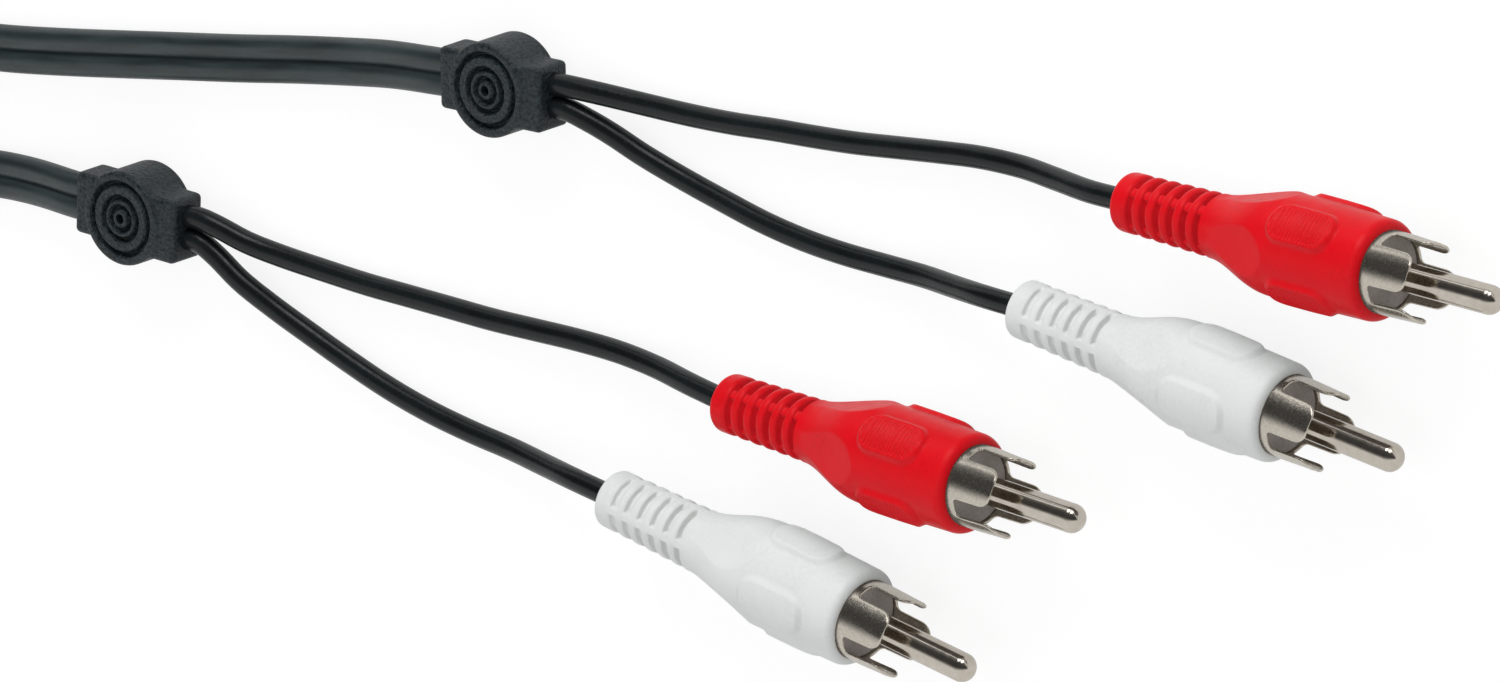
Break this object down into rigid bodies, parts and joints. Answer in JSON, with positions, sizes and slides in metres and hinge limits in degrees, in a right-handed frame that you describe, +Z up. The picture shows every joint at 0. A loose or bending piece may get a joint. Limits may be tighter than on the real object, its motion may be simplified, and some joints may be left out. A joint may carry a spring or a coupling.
{
  "type": "phono audio cable",
  "caption": "Stereo audio lead: red and white phono plugs with slotted boots at each end, thin leads into moulded splitters, and a flat twin lead wound in a coil.",
  "frame": {"origin": "on the surface that the cable lies on, under the middle of the box round the plugs and splitters", "axes": "+Z up from that surface, +X the way the plugs point, away from the coil, +Y towards the upper pair of plugs"},
  "size_m": [0.3079, 0.0783, 0.0124],
  "materials": {
    "red_pvc": "satin moulded PVC, signal red",
    "white_pvc": "satin moulded PVC, white",
    "nickel_plate": "bright nickel plating on formed metal, lightly brushed",
    "insulator_plastic": "matt grey moulded plastic",
    "lead_pvc": "smooth extruded black PVC jacket, satin",
    "twin_pvc": "smooth extruded black PVC twin jacket, satin",
    "splitter_pvc": "fine grained black moulded PVC, matt"
  },
  "bodies": {
    "root": {"upper_red_overmould": "red_pvc", "upper_red_contact_shell": "nickel_plate", "upper_red_insulator": "insulator_plastic", "upper_red_centre_pin": "nickel_plate", "upper_red_lead_end": "lead_pvc", "upper_white_overmould": "white_pvc", "upper_white_contact_shell": "nickel_plate", "upper_white_insulator": "insulator_plastic", "upper_white_centre_pin": "nickel_plate", "upper_white_lead_end": "lead_pvc", "lower_red_overmould": "red_pvc", "lower_red_contact_shell": "nickel_plate", "lower_red_insulator": "insulator_plastic", "lower_red_centre_pin": "nickel_plate", "lower_red_lead_end": "lead_pvc", "lower_white_overmould": "white_pvc", "lower_white_contact_shell": "nickel_plate", "lower_white_insulator": "insulator_plastic", "lower_white_centre_pin": "nickel_plate", "lower_white_lead_end": "lead_pvc", "upper_splitter": "splitter_pvc", "lower_splitter": "splitter_pvc", "upper_red_lead": "lead_pvc", "upper_white_lead": "lead_pvc", "lower_red_lead": "lead_pvc", "lower_white_lead": "lead_pvc", "upper_twin_lead": "twin_pvc", "lower_twin_lead": "twin_pvc", "twin_lead_coil": "twin_pvc"}
  },
  "joints": []
}
